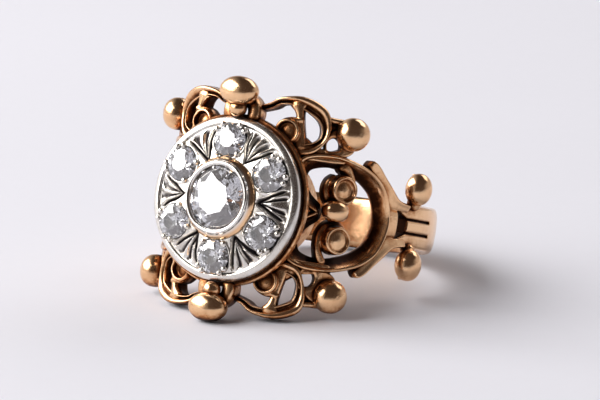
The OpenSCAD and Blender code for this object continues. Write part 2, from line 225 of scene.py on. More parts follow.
# Cross-sections from the outer edge (1) to the inner edge (-1)
CREST = [(1, -0.75), (0.98, -0.25), (0.84, -0.02), (0.62, 0.05), (0.42, 0.0), (0.1, -0.28), (-0.4, -0.62),
         (-0.85, -0.88), (-1, -1.0)]
GROOVED = [(1, -0.6), (0.98, -0.2), (0.75, 0.04), (0.35, 0.08), (0.0, -0.03), (-0.3, -0.24), (-0.5, -0.26),
           (-0.68, -0.1), (-0.86, -0.05), (-1, -0.16), (-1, -0.6)]
SHELVING = [(1, -0.6), (1, -0.15), (0.82, 0.03), (0.5, 0.02), (0.1, -0.06), (-0.4, -0.12), (-0.8, -0.2),
            (-1, -0.35), (-1, -0.6)]
FLAT = [(1, -0.5), (1, -0.12), (0.9, -0.02), (0.6, 0), (-0.6, 0), (-0.9, -0.02), (-1, -0.12), (-1, -0.5)]
ROUNDED = [(1, -0.6), (0.98, -0.3), (0.7, -0.02), (0, 0.08), (-0.7, -0.02), (-0.98, -0.3), (-1, -0.6)]


def ribbon(path, outline, depth, lift=0.0, flip=1, closed=False, round_ends=True):
    """A ribbon along a path of (s, z, width) on the dome. flip turns its outer edge to the other side."""
    profile = section(outline, depth)
    middle = -depth / 2
    count = len(path)
    rings = []

    def ring(s, z, width, side, scale=1.0, ahead=(0, 0)):
        return [on_dome(s + ahead[0] + side[0] * a * width / 2 * scale * flip,
                        z + ahead[1] + side[1] * a * width / 2 * scale * flip,
                        lift + middle + (h - middle) * scale) for a, h in profile]

    for i in range(count):
        a = path[(i - 1) % count] if closed else path[max(i - 1, 0)]
        b = path[(i + 1) % count] if closed else path[min(i + 1, count - 1)]
        run = (b[0] - a[0], b[1] - a[1])
        length = math.hypot(*run)
        run = (run[0] / length, run[1] / length)
        side = (-run[1], run[0])
        s, z, width = path[i]
        ends = [0.4, 0.7, 0.92] if round_ends and not closed else []
        if i == 0:
            for t in reversed(ends):
                rings.append(ring(s, z, width, side, math.sqrt(1 - t * t),
                                  (-run[0] * t * width / 2, -run[1] * t * width / 2)))
        rings.append(ring(s, z, width, side))
        if i == count - 1:
            for t in ends:
                rings.append(ring(s, z, width, side, math.sqrt(1 - t * t),
                                  (run[0] * t * width / 2, run[1] * t * width / 2)))
    return loft(rings, closed=closed)


def turned(profile, sides, closed=False):
    """A turned shape about its own third axis from a profile of (radius, height)."""
    turns = [math.tau * k / sides for k in range(sides)]
    rings = [[(r * math.cos(turn), r * math.sin(turn), h) for turn in turns] for r, h in profile]
    return loft(rings, closed=closed)


def oval(width, length, height, power=2.0, sides=48, steps=24):
    """A bead: width across, length along, height out, a little squarer for a higher power."""
    profile = []
    for k in range(1, steps):
        angle = math.pi * k / steps
        up = math.cos(angle)
        profile.append((math.sin(angle) ** (2 / power), -math.copysign(abs(up) ** (2 / power), up)))
    bead = turned(profile, sides)
    return bead.moved(lambda x, y, h: (x * width / 2, y * length / 2, h * height / 2))


def stood(shape, s, z, h):
    """A shape made about its own origin, stood on the dome with its third axis out of the sheet."""
    turn = dome_angle(s)
    foot = on_dome(s, z, h)
    cs, sn = math.cos(turn), math.sin(turn)

    def rule(u, v, w):
        return (foot[0] + u * cs + w * sn, foot[1] - u * sn + w * cs, foot[2] + v)

    return shape.moved(rule)


def on_head(shape, level=0.0):
    """A shape made about its own origin, put on the stone head with its third axis out."""
    return shape.moved(lambda u, v, w: (u, level + w, v))


def mesh_object(name, shape, rule):
    mesh = bpy.data.meshes.new(name)
    mesh.from_pydata([rule(p) for p in shape.points], [], shape.faces)
    work = bmesh.new()
    work.from_mesh(mesh)
    bmesh.ops.recalc_face_normals(work, faces=work.faces)
    work.to_mesh(mesh)
    work.free()
    thing = bpy.data.objects.new(name, mesh)
    bpy.context.scene.collection.objects.link(thing)
    return thing


def fused(shape, voxel, smooth):
    """Melts overlapping shapes into one skin, as solder does. Works at one unit to the millimetre."""
    thing = mesh_object("melt", shape, Vector)
    melt = thing.modifiers.new("melt", "REMESH")
    melt.mode = "VOXEL"
    melt.voxel_size = voxel
    melt.adaptivity = 0
    ease = thing.modifiers.new("ease", "SMOOTH")
    ease.factor = 0.5
    ease.iterations = smooth
    graph = bpy.context.evaluated_depsgraph_get()
    skin = thing.evaluated_get(graph).to_mesh()
    result = Shape([tuple(v.co) for v in skin.vertices], [tuple(f.vertices) for f in skin.polygons])
    mesh = thing.data
    bpy.data.objects.remove(thing)
    bpy.data.meshes.remove(mesh)
    return result


def piece(node, shape, finish, flat=False, depths=None):
    """Puts a shape into the scene in place of a frame node. depths says how dark each point is painted."""
    thing = mesh_object(node + "_fine", shape, lay)
    if depths:
        thing.data.attributes.new("cut_depth", "FLOAT", "POINT").data.foreach_set("value", depths)
    thing.data.polygons.foreach_set("use_smooth", [not flat] * len(thing.data.polygons))
    thing.data.materials.append(finish)
    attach(thing, "root")
    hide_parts(node)


# ---------------------------------------------------------------- shader sums

class Value:
    """A shader socket that Python's operators can work on."""

    def __init__(self, graph, link):
        self.graph = graph
        self.link = link

    def sum(self, kind, *others):
        return self.graph.add("ShaderNodeMath", {"operation": kind}, dict(enumerate((self,) + others)))

    def __add__(self, other):
        return self.sum("ADD", other)

    __radd__ = __add__

    def __mul__(self, other):
        return self.sum("MULTIPLY", other)

    __rmul__ = __mul__

    def __sub__(self, other):
        return self.sum("SUBTRACT", other)

    def __rsub__(self, other):
        return self.sum("MULTIPLY", -1.0).sum("ADD", other)

    def __truediv__(self, other):
        return self.sum("DIVIDE", other)

    def __rtruediv__(self, other):
        return self.sum("POWER", -1.0).sum("MULTIPLY", other)

    def clamped(self):
        return self.graph.add("ShaderNodeClamp", {}, {0: self, 1: 0.0, 2: 1.0})

    def ramp(self, low, high):
        """0 below low, 1 above high, smooth between them."""
        return self.graph.add("ShaderNodeMapRange", {"interpolation_type": "SMOOTHSTEP"},
                              {0: self, 1: low, 2: high, 3: 0.0, 4: 1.0})


class Graph:
    """Builds one material's or world's nodes."""

    def __init__(self, tree):
        self.tree = tree
        tree.nodes.clear()

    def add(self, kind, settings=None, values=None, output=0):
        """One node: its type, its settings, the values or links of its sockets, and which output is used."""
        node = self.tree.nodes.new(kind)
        for name, setting in (settings or {}).items():
            if name == "stops":
                self.set_stops(node.color_ramp, setting)
            else:
                setattr(node, name, setting)
        for name, value in (values or {}).items():
            socket = node.inputs[name]
            if isinstance(value, Value):
                self.tree.links.new(value.link, socket)
            else:
                socket.default_value = value
        return Value(self, node.outputs[output]) if len(node.outputs) else None

    @staticmethod
    def set_stops(ramp, stops):
        while len(ramp.elements) < len(stops):
            ramp.elements.new(0.5)
        for element, (place, colour) in zip(ramp.elements, stops):
            element.position = place
            element.color = colour

    def blend(self, share, first, second):
        """A colour between two colours."""
        return self.add("ShaderNodeMix", {"data_type": "RGBA"}, {0: share, 6: first, 7: second}, output=2)

    def places(self, scale):
        where = self.add("ShaderNodeTexCoord", output=3)
        return self.add("ShaderNodeVectorMath", {"operation": "MULTIPLY"}, {0: where, 1: scale})

    def noise(self, size_mm, detail, roughness, stretch=(1, 1, 1)):
        """Cloudy variation whose spots are about size_mm across."""
        scale = 1 / (size_mm * MM)
        where = self.places(tuple(scale * k for k in stretch))
        return self.add("ShaderNodeTexNoise", {}, {"Vector": where, "Scale": 1.0, "Detail": detail,
                                                   "Roughness": roughness})

    def hollow(self, reach_mm):
        """1 in deep corners and 0 in the open, from ambient occlusion: it marks where shade falls, for
        painted shade.
        """
        sockets = {"Distance": reach_mm * MM}
        return 1 - self.add("ShaderNodeAmbientOcclusion", {"samples": 8}, sockets, output=1)

    def along(self, vector, direction):
        """How far a vector reaches along a direction."""
        sockets = {0: vector, 1: direction}
        return self.add("ShaderNodeVectorMath", {"operation": "DOT_PRODUCT"}, sockets, output=1)

    def bump(self, height, depth_mm, strength):
        sockets = {"Height": height, "Distance": depth_mm * MM, "Strength": strength}
        return self.add("ShaderNodeBump", {}, sockets)

    def surface(self, **sockets):
        names = {key.replace("_", " "): value for key, value in sockets.items()}
        shader = self.add("ShaderNodeBsdfPrincipled", {}, names)
        self.add("ShaderNodeOutputMaterial", {}, {"Surface": shader})


def material(name, build):
    """The material of that name, built once."""
    found = bpy.data.materials.get(name)
    if found:
        return found
    made = bpy.data.materials.new(name)
    made.use_nodes = True
    build(Graph(made.node_tree))
    return made


def rgba(colour):
    return (*colour[:3], 1.0)


def gold_finish(name, open_oxide_and_shade):
    """Old gold, brown in its hollows from oxide and painted shade, and bright where rubbed. The second
    argument is how dark the open parts stay: oxide, and painted shade on the darker copy for the gallery.
    """
    colours = bpy.context.scene.ring_colours

    def build(g):
        cloud = g.noise(1.6, 4.0, 0.6)
        grime = g.noise(0.35, 3.0, 0.6)
        # near and far are ambient occlusion and deep is the openwork's depth: together with oxide they paint
        # shade into the hollows
        near = g.hollow(0.45)
        far = g.hollow(1.8)
        deep = g.add("ShaderNodeAttribute", {"attribute_name": "cut_depth"}, output=2)
        oxide_and_shade = (near * 0.8 + far * 0.8 + deep * 0.75 + (grime - 0.5) * 0.7 + (cloud - 0.5) * 0.6
                  + open_oxide_and_shade).ramp(0.05, 1.05)
        warm = g.blend(cloud.ramp(0.35, 0.7), rgba(colours.gold), rgba(colours.gold_rosy))
        # this ramp runs from clean gold to near black: oxide, and painted shade in the hollows
        oxide_and_shade_ramp = [(0.0, (1, 1, 1, 1)), (0.22, (0.68, 0.5, 0.36, 1)), (0.5, (0.25, 0.13, 0.075, 1)),
                   (0.85, (0.04, 0.02, 0.013, 1))]
        metal = g.add("ShaderNodeValToRGB", {"stops": oxide_and_shade_ramp}, {0: oxide_and_shade})
        colour = g.add("ShaderNodeMix", {"data_type": "RGBA", "blend_type": "MULTIPLY"},
                       {0: 1.0, 6: warm, 7: metal}, output=2)
        scratch = g.noise(0.05, 2.0, 0.7, (1, 0.12, 1))
        roughness = 0.17 + oxide_and_shade * 0.36 + (grime - 0.5) * 0.12 + (scratch - 0.5) * 0.1
        relief = grime * 0.5 + scratch * 0.25 + cloud * 0.6
        g.surface(Base_Color=colour, Metallic=1.0, Roughness=roughness.clamped(),
                  Normal=g.bump(relief, 0.035, 0.6))

    return material(name, build)


def antique_gold():
    return gold_finish("patinated_gold", 0.04)


# A darker copy of the old gold: painted shade for the gallery under the plate
def dark_gold():
    return gold_finish("dark_gold", 0.25)


def rubbed_gold():
    return gold_finish("rubbed_gold", 0.02)


def white_finish(name, carved):
    """White gold, with painted shade in its corners. On the carved plate the cuts are painted darker."""
    colours = bpy.context.scene.ring_colours

    def build(g):
        cloud = g.noise(1.2, 3.0, 0.5)
        # near is ambient occlusion: painted shade in the corners; grime is random dirt
        near = g.hollow(0.3)
        grime = g.noise(0.2, 3.0, 0.6)
        dark = near * 0.75 + (grime - 0.5) * 0.35
        if carved:
            dark = dark + g.add("ShaderNodeAttribute", {"attribute_name": "cut_depth"}, output=2) * 0.95
        dark = dark.ramp(0.2, 1.0)
        bright = g.blend(cloud.ramp(0.35, 0.65), rgba(colours.white_gold),
                         rgba([c * k for c, k in zip(colours.white_gold, (0.9, 0.88, 0.85))]))
        # the near-black colour is painted shade in corners and the darkening of the plate's cuts
        colour = g.blend(dark, bright, (0.045, 0.035, 0.038, 1))
        scratch = g.noise(0.04, 2.0, 0.7, (1, 1, 0.15))
        roughness = 0.25 + dark * 0.3 + (scratch - 0.5) * 0.16 + (cloud - 0.5) * 0.1
        g.surface(Base_Color=colour, Metallic=1.0, Roughness=roughness.clamped(),
                  Normal=g.bump(scratch * 0.3 + cloud * 0.5, 0.02, 0.5))

    return material(name, build)


def white_gold():
    return white_finish("plain_white_gold", False)


def carved_white_gold():
    return white_finish("carved_white_gold", True)


def collet_metal():
    """White at the polished lip and gold on the wall below it, with painted shade in its corners."""
    colours = bpy.context.scene.ring_colours

    def build(g):
        where = g.add("ShaderNodeTexCoord", output=3)
        level = g.along(where, tuple(OUT))
        start = HOLE_CENTRE.dot(OUT)
        high = ((level - start) / MM).ramp(LIP_TOP - 0.5, LIP_TOP - 0.25)
        # near is ambient occlusion: painted shade in the corners, with random grime
        near = g.hollow(0.4)
        grime = g.noise(0.2, 3.0, 0.6)
        dark = (near + (grime - 0.5) * 0.4).ramp(0.3, 1.0)
        metal = g.blend(high, rgba(colours.gold), rgba(colours.white_gold))
        colour = g.blend(dark, metal, (0.12, 0.07, 0.045, 1))
        scratch = g.noise(0.05, 2.0, 0.7, (1, 1, 0.2))
        roughness = 0.14 + dark * 0.3 + (scratch - 0.5) * 0.12
        g.surface(Base_Color=colour, Metallic=1.0, Roughness=roughness.clamped(),
                  Normal=g.bump(scratch * 0.3 + grime * 0.3, 0.015, 0.5))

    return material("collet_metal", build)


def clear_stone():
    def build(g):
        cloud = g.noise(0.6, 2.0, 0.5)
        tint = g.blend(cloud.ramp(0.35, 0.65), (1, 1, 1, 1), (0.90, 0.91, 0.97, 1))
        wear = g.noise(0.08, 2.0, 0.6)
        flaws = g.noise(0.3, 2.0, 0.6)
        g.surface(Base_Color=tint, Metallic=0.0, Roughness=wear.ramp(0.62, 0.9) * 0.12,
                  Normal=g.bump(flaws, 0.006, 0.25), IOR=2.42, Transmission_Weight=0.93)

    return material("clear_stone", build)


def pale_table():
    colours = bpy.context.scene.ring_colours

    def build(g):
        fibre = g.noise(1.5, 5.0, 0.6)
        broad = g.noise(60, 2.0, 0.5)
        shade = g.blend((fibre * 0.3 + broad * 0.7).ramp(0.3, 0.7), rgba(colours.table),
                        rgba([c * 0.985 for c in colours.table]))
        g.surface(Base_Color=shade, Roughness=0.7 + (fibre - 0.5) * 0.1, Specular_IOR_Level=0.25,
                  Normal=g.bump(fibre, 0.05, 0.25))

    return material("pale_table", build)


def openwork(node, shape):
    """Puts an openwork piece into the scene, darkened where it lies deep by oxide and painted shade."""
    piece(node, shape, antique_gold(), depths=sunk(shape))


# ---------------------------------------------------------------- sizes and colours a user may change

def length_field(label, about, low, high):
    """A length that starts at its highest, as every piece has to stay inside the frame's box."""
    return FloatProperty(name=label, description=about, default=high, min=low, max=high, unit="LENGTH")


def colour_field(label, about, default):
    return FloatVectorProperty(name=label, description=about, subtype="COLOR", default=default, min=0, max=1)


class RingSizes(bpy.types.PropertyGroup):
    shank_back: length_field("Shank width", "Width of the shank at the back", 0.0036, 0.0043)
    shank_neck: length_field("Neck width", "Width of the shank where the fork starts", 0.003, 0.0034)
    heart_ribbon: length_field("Heart ribbon", "Thickness of the heart scroll's ribbon", 0.0007, 0.0009)
    corner_ribbon: length_field("Corner ribbon", "Thickness of the corner scrolls' ribbon", 0.0007, 0.00095)
    corner_bead: length_field("Corner bead", "Diameter of the corner beads", 0.0022, 0.0026)
    knob: length_field("Knob", "Diameter of the knobs beside the slot", 0.002, 0.0023)
    centre_stone: length_field("Centre stone", "Girdle diameter of the centre stone", 0.0045, 0.0049)
    side_stone: length_field("Side stones", "Girdle diameter of the side stones", 0.0024, 0.0027)
    seed: IntProperty(name="Hand work", description="Seed of the small unevenness of hand work",
                      default=7, min=0)


class RingColours(bpy.types.PropertyGroup):
    gold: colour_field("Gold", "Polished antique gold", (0.90, 0.58, 0.33))
    gold_rosy: colour_field("Rosy gold", "Redder patches of the gold", (0.80, 0.48, 0.26))
    white_gold: colour_field("White gold", "Metal of the head", (0.84, 0.81, 0.77))
    table: colour_field("Table", "The surface that the ring lies on", (0.785, 0.785, 0.845))


def mm(length):
    """A length of the property groups, which hold metres, in millimetres."""
    return length / MM


# ---------------------------------------------------------------- gold pieces

class RING_OT_shank(bpy.types.Operator):
    """Makes the shank: a crowned band with two rails and a middle bar on each side"""
    bl_idname = "ring.make_shank"
    bl_label = "Shank"

    def execute(self, context):
        sizes = context.scene.ring_sizes
        neck, back = mm(sizes.shank_neck), mm(sizes.shank_back)
        front, join = math.radians(64.3), math.radians(96.8)
        slot_front, bar_start = math.radians(69.8), math.radians(76.9)
        slot_half, slot_taper, bar_half = 1.02, 0.46, 0.5
        flare_start, flare_run, ring_points = 2, 9.15, 40

        def strip(low, high, first, last):
            """One strand from angle to angle. low and high give its edges along the finger hole."""
            steps = max(8, int(math.degrees(last - first)))
            rings = []
            for i in range(steps + 1):
                turn = first + (last - first) * i / steps
                flare = min(max((-math.cos(turn) * SHANK_R - flare_start) / flare_run, 0), 1)
                half = (neck + (back - neck) * flare) / 2
                z_low, z_high = low(half, turn), high(half, turn)
                ring = []
                for k in range(ring_points):
                    a = math.tau * k / ring_points
                    across = math.copysign(abs(math.cos(a)) ** 0.35, math.cos(a))
                    up = math.copysign(abs(math.sin(a)) ** 0.45, math.sin(a))
                    z = (z_low + z_high) / 2 + across * (z_high - z_low) / 2
                    crown = 0.16 * (z / half) ** 2
                    radius = (FINGER_R + SHANK_R) / 2 + up * (SHANK_R - FINGER_R) / 2
                    radius -= crown * (up + 1) / 2
                    ring.append((radius * math.sin(turn), radius * math.cos(turn), z))
                rings.append(ring)
            return loft(rings)

        def slot_edge(half, turn):
            share = min(max((turn - slot_front) / (bar_start - slot_front) * 1.25 - 0.25, 0), 1)
            return slot_half - slot_taper * share

        shape = strip(lambda half, turn: -half, lambda half, turn: half, join, math.tau - join)
        for side in (1, -1):
            collar = strip(lambda half, turn: -half, lambda half, turn: half, front, slot_front)
            bar = strip(lambda half, turn: -bar_half, lambda half, turn: bar_half, bar_start, join + 0.06)
            shape.add(collar.mirrored(side, 1)).add(bar.mirrored(side, 1))
            for end in (1, -1):
                rail = strip(slot_edge, lambda half, turn: half, slot_front - 0.03, join + 0.06)
                shape.add(rail.mirrored(side, end))
        shape = fused(shape, 0.045, 2)
        slot_back = join + 0.03
        depths = []
        # painted shade: the slot's walls are darkened where the slot lies in shadow
        for x, out, along in shape.points:
            turn = math.atan2(abs(x), out)
            below = SHANK_R - math.hypot(x, out)
            in_slot = slot_front - 0.01 < turn < slot_back and abs(along) < 1.0 and below < 1.3
            depths.append(smoothstep(0.06, 0.5, below) * 1.6 if in_slot else 0.0)
        piece("shank", shape, rubbed_gold(), depths=depths)
        return {"FINISHED"}


class RING_OT_forks(bpy.types.Operator):
    """Makes the swallow-tail arms that part at the shank's neck and hug the heart scrolls"""
    bl_idname = "ring.make_forks"
    bl_label = "Shoulder forks"

    def execute(self, context):
        arm = smooth_curve([(13.6, 1.32, 0.7), (12.3, 1.46, 0.85), (11.45, 1.72, 1.3), (10.75, 2.3, 1.3),
                            (10.0, 3.05, 1.1), (9.3, 3.8, 0.95), (8.9, 4.15, 0.75)], 10)
        bridge = smooth_curve([(11.15, 0, 2.6), (11.8, 0, 2.5), (12.3, 0, 2.5)], 4)
        for side_name, side in SIDES:
            shape = Shape()
            for end in (1, -1):
                shape.add(ribbon(arm, SHELVING, 1.15, flip=-1).mirrored(1, end))
            shape.add(ribbon(bridge, ROUNDED, 1.1, lift=-0.08, round_ends=False))
            openwork(f"shoulder_fork_{side_name}", fused(shape.mirrored(side, 1), 0.045, 2))
        return {"FINISHED"}


class RING_OT_knobs(bpy.types.Operator):
    """Makes the curled knobs above and below each slot"""
    bl_idname = "ring.make_knobs"
    bl_label = "Shank knobs"

    def execute(self, context):
        size = mm(context.scene.ring_sizes.knob)
        curl = smooth_curve([(14.75, 1.95, 0.5), (15.1, 2.4, 0.55), (15.2, 3.1, 0.5), (14.9, 3.7, 0.35),
                             (14.4, 4.05, 0.2)], 8)
        for corner, side, end in CORNERS:
            shape = stood(oval(size * 0.95, size * 1.09, size * 0.86, 2.2), 14.0, 2.95, 0.3)
            shape.add(stood(oval(1.15, 1.15, 1.15), 14.4, 1.85, -0.2))
            shape.add(ribbon(curl, ROUNDED, 0.9, lift=0.2))
            shape = fused(shape.mirrored(side, end), 0.05, 3)
            piece(f"shank_knob_{corner}", shape, antique_gold())
        return {"FINISHED"}


class RING_OT_hearts(bpy.types.Operator):
    """Makes the heart-shaped ribbon loop of each shoulder"""
    bl_idname = "ring.make_hearts"
    bl_label = "Heart scrolls"

    def execute(self, context):
        thick = mm(context.scene.ring_sizes.heart_ribbon)
        upper = [(4.7, 0.25, 1.0), (3.5, 1.0, 1.25), (2.65, 2.2, 1.5), (3.2, 3.6, 1.45), (5.3, 4.0, 1.15),
                 (7.5, 3.62, 1.15), (9.1, 2.98, 1.15), (10.3, 1.92, 1.05), (10.95, 0, 0.9)]
        lower = [(s, -z, w) for s, z, w in reversed(upper[:-1])]
        loop = [(s, z, w * thick) for s, z, w in smooth_curve(upper + lower, 14)]
        for side_name, side in SIDES:
            shape = ribbon(loop, CREST, 1.4, lift=0.05, closed=True)
            openwork(f"heart_scroll_{side_name}", shape.mirrored(side, 1))
        return {"FINISHED"}


def cup(radius, height, hollow, boss):
    """A turned stub with a thick rounded rim, a hollow top and a low boss in the hollow."""
    deep = height - hollow
    outline = [(radius * 0.8, 0), (radius * 1.04, 0.1), (radius * 1.06, height * 0.4),
               (radius * 1.01, height * 0.8), (radius, height - 0.16), (radius - 0.05, height - 0.04),
               (radius - 0.13, height), (radius - 0.22, height - 0.04),
               (radius - 0.29, min(height - 0.16, deep + 0.1)),
               (radius * 0.6, deep), (radius * 0.4, deep + boss * 0.4), (radius * 0.2, deep + boss),
               (0.02, deep + boss * 1.1)]
    return turned(smooth_curve(outline, 3), 64)


class RING_OT_snails(bpy.types.Operator):
    """Makes the curled stems with cups inside the hearts"""
    bl_idname = "ring.make_snails"
    bl_label = "Snail scrolls"

    def execute(self, context):
        stems = {1: [(6.5, 3.7, 1.2), (6.95, 3.2, 0.9), (7.3, 2.6, 0.75), (7.35, 1.8, 0.7),
                     (6.95, 1.05, 0.7), (6.15, 0.78, 0.7), (5.38, 1.05, 0.7), (5.05, 1.8, 0.7),
                     (5.2, 2.5, 0.5), (5.6, 2.9, 0.3)],
                 -1: [(5.5, 3.7, 0.9), (5.15, 3.0, 0.7), (5.02, 2.3, 0.7), (5.12, 1.5, 0.7),
                      (5.65, 0.9, 0.7), (6.4, 0.78, 0.7), (7.05, 1.15, 0.65), (7.3, 1.9, 0.55),
                      (7.1, 2.5, 0.4), (6.7, 2.85, 0.25)]}
        tops = {1: cup(1.08, 1.45, 0.3, 0.1), -1: cup(1.08, 1.42, 0.1, 0.12)}
        for corner, side, end in CORNERS:
            shape = ribbon(smooth_curve(stems[end], 8), ROUNDED, 1.0, lift=-0.28)
            shape.add(stood(tops[end], 6.25, 1.92, -0.87))
            openwork(f"snail_scroll_{corner}", fused(shape.mirrored(side, end), 0.035, 2))
        return {"FINISHED"}


class RING_OT_beads(bpy.types.Operator):
    """Makes the shoulder beads, the corner beads and the oval and round beads at the ends of the head"""
    bl_idname = "ring.make_beads"
    bl_label = "Beads"

    def execute(self, context):
        size = mm(context.scene.ring_sizes.corner_bead)
        gold = rubbed_gold()
        for side_name, side in SIDES:
            bead = stood(oval(2.15, 1.75, 1.8, 2.15), 5.8, 0.25, 0.2)
            piece(f"shoulder_bead_{side_name}", bead.mirrored(side, 1), gold)
            for end_name, end in ENDS:
                bead = stood(oval(size, size * 0.99, size * 0.95, 2.2), 6.38, 6.2, 0.2)
                bead.add(ribbon([(5.75, 6.1, 0.9), (6.1, 6.1, 1.2)], ROUNDED, 0.9, lift=-0.05))
                ridge = [(4.3, 7.05, 0.5), (4.9, 7.0, 0.5), (5.5, 6.95, 0.6), (6.0, 6.8, 0.8)]
                bead.add(ribbon(smooth_curve(ridge, 6), ROUNDED, 0.9))
                piece(f"corner_bead_{end_name}_{side_name}", fused(bead.mirrored(side, end), 0.05, 3),
                      gold)
        for end_name, end in ENDS:
            bead = oval(3.16, 2.26, 2.26, 2.2).moved(lambda u, v, w: (u, 13.9 + w, 8.25 + v))
            piece(f"end_bead_{end_name}", bead.mirrored(1, end), gold)
            small = oval(1.38, 1.36, 1.38).moved(lambda u, v, w: (u, 13.7 + w, 6.95 + v))
            piece(f"small_bead_{end_name}", small.mirrored(1, end), gold)
        return {"FINISHED"}


class RING_OT_corner_scrolls(bpy.types.Operator):
    """Makes the three-quarter loops at the corners of the head and the stems with cups that cross them"""
    bl_idname = "ring.make_corner_scrolls"
    bl_label = "Corner scrolls"

    def execute(self, context):
        thick = mm(context.scene.ring_sizes.corner_ribbon)
        loops = {}
        for end, inset in ((1, 0.0), (-1, 0.2)):
            loop = smooth_curve([(-1.4, 7.2, 0.45), (-0.3, 7.55, 0.5), (0.4, 7.95, 0.6), (1.3, 8.1, 0.72),
                                 (2.1, 8.05, 0.95), (3, 7.77, 1.15), (3.85, 7.27, 1.15),
                                 (4.28 - inset, 6.4, 0.85), (4.1 - inset, 5.4, 0.6), (3.4, 4.72, 0.9),
                                 (2.5, 4.45, 0.95), (2, 4.45, 0.8)], 10)
            loops[end] = [(s, z, w * thick) for s, z, w in loop]
        stem = smooth_curve([(1.95, 7.8, 1.5), (2.05, 7.3, 0.8), (2.2, 6.5, 0.7), (2.3, 5.5, 1.0),
                             (2.3, 4.7, 1.4)], 10)
        curl = smooth_curve([(2.3, 6.7, 0.5), (1.95, 6.62, 0.45), (1.5, 6.68, 0.4), (1.0, 6.56, 0.35),
                             (0.6, 6.3, 0.25)], 8)
        foot = smooth_curve([(1.4, 5.3, 1.2), (2.0, 5.0, 1.5), (2.7, 4.7, 1.5), (3.3, 4.5, 1.2)], 6)
        for corner, side, end in CORNERS:
            scroll = ribbon(loops[end], GROOVED, 1.35, lift=0.1)
            openwork(f"corner_scroll_{corner}", scroll.mirrored(side, end))
            tendril = ribbon(stem, ROUNDED, 1.2, lift=0.02)
            tendril.add(ribbon(curl, ROUNDED, 1.0, lift=0.1))
            tendril.add(ribbon(foot, ROUNDED, 1.0, lift=-0.12))
            tendril.add(stood(cup(0.98, 1.36, 0.45, 0.05), 1.35, 5.72, -0.98))
            openwork(f"corner_tendril_{corner}", fused(tendril.mirrored(side, end), 0.035, 2))
        return {"FINISHED"}


def pierced_plate(s, z, hole, reach, thick, lift):
    """A flat plate on the dome round a hole at (s, z). reach is how far it runs at even steps of turn."""
    r = 0.14
    edge = smooth_curve([(far,) for far in reach], 12, closed=True)
    rings = []
    for k, (far,) in enumerate(edge):
        turn = math.tau * k / len(edge)
        profile = [(hole, -thick + r), (hole + r, -thick), (far - r, -thick), (far, -thick + r),
                   (far, -1.4 * r), (far - 0.3 * r, -0.4 * r), (far - 1.2 * r, 0), (hole + 1.6 * r, 0),
                   (hole + 0.5 * r, -0.4 * r), (hole, -1.4 * r)]
        rings.append([on_dome(s + away * math.cos(turn), z + away * math.sin(turn), lift + h)
                      for away, h in profile])
    return loft(rings, closed=True)


def eyelet(outer, hole, thick):
    """A turned ring with rounded edges, standing on its origin."""
    r = 0.12
    profile = [(hole, r), (hole + r, 0), (outer - r, 0), (outer, r), (outer, thick - r), (outer - r, thick),
               (hole + 2 * r, thick), (hole + 0.5 * r, thick - 0.5 * r), (hole, thick - 2 * r)]
    return turned(profile, 64, closed=True)


def clear_of_plate(x, out, along):
    """Moves a bracket's point out to the edge of the white plate where it would lie inside it."""
    edge = PLATE_R + 0.01
    return x, out, max(along, math.sqrt(max(edge ** 2 - x * x, 0)))


class RING_OT_eyelets(bpy.types.Operator):
    """Makes the pierced plates between the scrolls and the pierced brackets behind the end beads"""
    bl_idname = "ring.make_eyelets"
    bl_label = "Eyelets and brackets"

    def execute(self, context):
        for end_name, end in ENDS:
            for side_name, side in SIDES:
                s = 4.78 + 0.33 * end
                reach = (7.0 - s, 6.9 - s, 1.3, 1.0, 0.8, 0.9, 0.95, 1.1)
                shape = pierced_plate(s, 5.1, 0.6, reach, 0.8, -0.06)
                tie = [(4.5, 6.6, 0.8), (5.2, 6.5, 0.9), (5.9, 6.5, 0.8)]
                shape.add(ribbon(tie, ROUNDED, 0.7, lift=-0.35))
                web = [(2.2, 3.95, 1.0), (3.2, 4.35, 1.2), (4.1, 4.3, 1.0), (5.1, 4.25, 0.9), (6.0, 4.4, 1.1)]
                shape.add(ribbon(smooth_curve(web, 6), FLAT, 1.1, lift=-0.1))
                shape = fused(shape.mirrored(side, end), 0.04, 2)
                openwork(f"corner_eyelet_{end_name}_{side_name}", shape)
            bracket = on_head(eyelet(1.53, 0.55, 1.46), DOME_LEVEL - 0.48)
            bracket = bracket.moved(lambda x, out, along: (x, out, along + 6.75)).moved(clear_of_plate)
            piece(f"end_bracket_{end_name}", bracket.mirrored(1, end), antique_gold())
        return {"FINISHED"}


class RING_OT_gallery(bpy.types.Operator):
    """Gives the turned gallery under the plate its gold, painted darker as shade under the plate"""
    bl_idname = "ring.make_gallery"
    bl_label = "Gallery"

    def execute(self, context):
        node = frame["nodes"]["gallery"]
        node.data.materials.clear()
        # the darker gold is painted shade under the plate
        node.data.materials.append(dark_gold())
        return {"FINISHED"}


# ---------------------------------------------------------------- the white head

